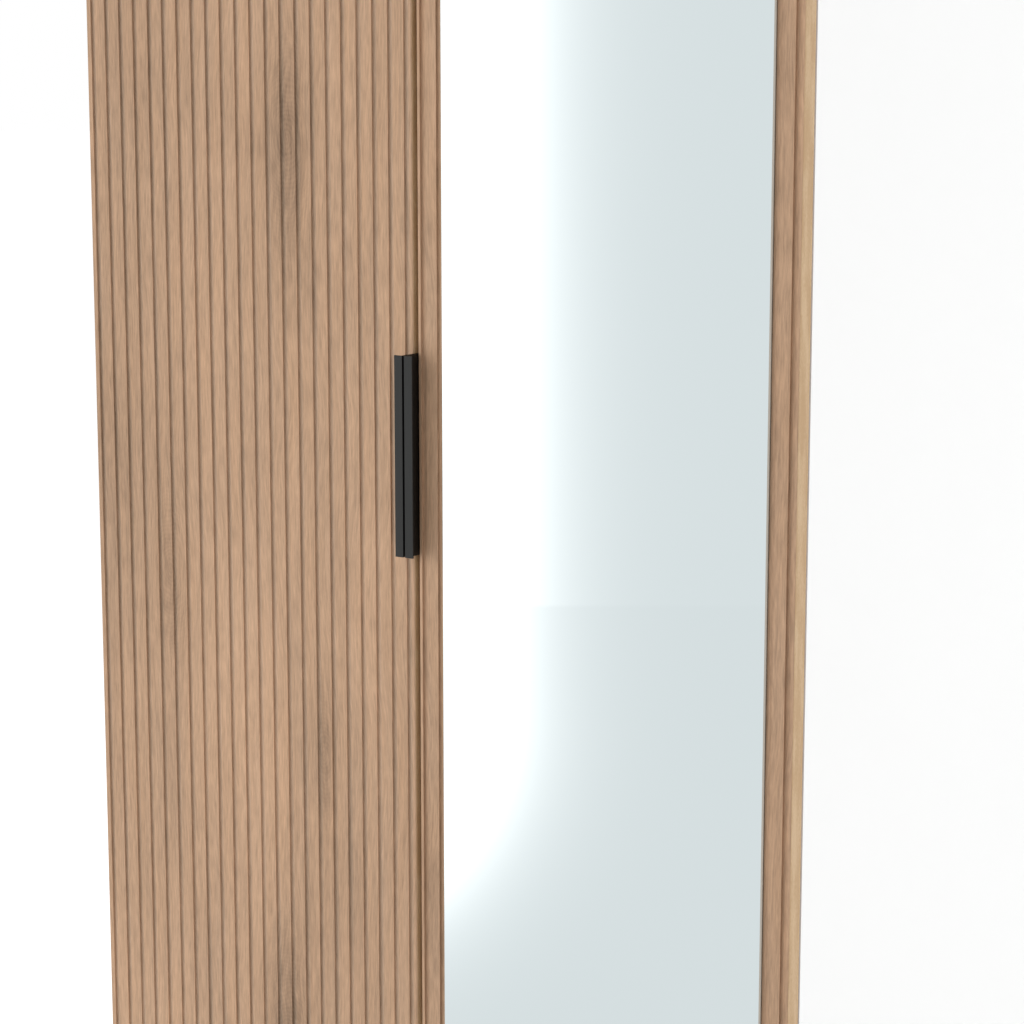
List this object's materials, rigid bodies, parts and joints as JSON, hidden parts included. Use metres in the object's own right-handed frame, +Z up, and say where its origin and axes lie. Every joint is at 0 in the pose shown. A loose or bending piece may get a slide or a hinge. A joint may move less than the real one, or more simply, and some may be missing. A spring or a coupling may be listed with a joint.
{
  "type": "wardrobe with doors",
  "caption": "Free-standing wardrobe with a ribbed door and a mirror door on concealed hinges, edge-pull handles, a hanging rail and an upper shelf.",
  "frame": {"origin": "centre of the footprint on the floor", "axes": "+X to the wardrobe's right as seen by someone facing it, +Y towards its back, +Z up"},
  "size_m": [0.768, 0.5484, 1.97],
  "materials": {
    "white_board": "smooth white faced board, satin",
    "back_sheet": "white lacquered hardboard, matt",
    "white_plastic": "matt",
    "black_plastic": "matt",
    "beech": "bare turned wood",
    "soft_buffer": "translucent, soft",
    "oak_front": "oak-effect foil with vertical grain, matt",
    "mirror_glass": "silvered glass with polished edges",
    "black_metal": "matt black coating",
    "chrome_rail": "bright",
    "plated_steel": "nickel plated"
  },
  "bodies": {
    "carcass": {"side_left": "white_board", "side_right": "white_board", "top_panel": "white_board", "base_panel": "white_board", "upper_shelf": "white_board", "plinth_front": "white_board", "plinth_rear": "white_board", "back_left": "back_sheet", "back_right": "back_sheet", "back_joiner": "white_plastic", "glides": "black_plastic", "dowels": "beech", "cam_bolts": "plated_steel", "cam_locks": "plated_steel", "cam_caps": "white_plastic", "hanging_rail": "chrome_rail", "rail_sockets": "plated_steel", "rail_screws": "plated_steel", "wall_brackets": "plated_steel", "bracket_screws": "plated_steel", "hinge_plates_left": "plated_steel", "hinge_plates_right": "plated_steel", "hinge_arms_left": "plated_steel", "hinge_arms_right": "plated_steel", "plate_screws_left": "plated_steel", "plate_screws_right": "plated_steel"},
    "left_door": {"door_left": "oak_front", "hinge_cups_left": "plated_steel", "hinge_pins_left": "plated_steel", "cup_screws_left": "plated_steel", "handle_left": "black_metal", "handle_screws_left": "plated_steel", "buffers_left": "soft_buffer"},
    "right_door": {"door_right": "oak_front", "mirror": "mirror_glass", "hinge_cups_right": "plated_steel", "hinge_pins_right": "plated_steel", "cup_screws_right": "plated_steel", "handle_right": "black_metal", "handle_screws_right": "plated_steel", "buffers_right": "soft_buffer"}
  },
  "joints": [
    {"name": "left_door_hinge", "type": "hinge", "parent": "carcass", "child": "left_door", "pos_m": [-0.3792, -0.2463, 1.0155], "axis": [0, 0, -1], "range_deg": [0, 95]},
    {"name": "right_door_hinge", "type": "hinge", "parent": "carcass", "child": "right_door", "pos_m": [0.3792, -0.2463, 1.0155], "axis": [0, 0, 1], "range_deg": [0, 95]}
  ]
}
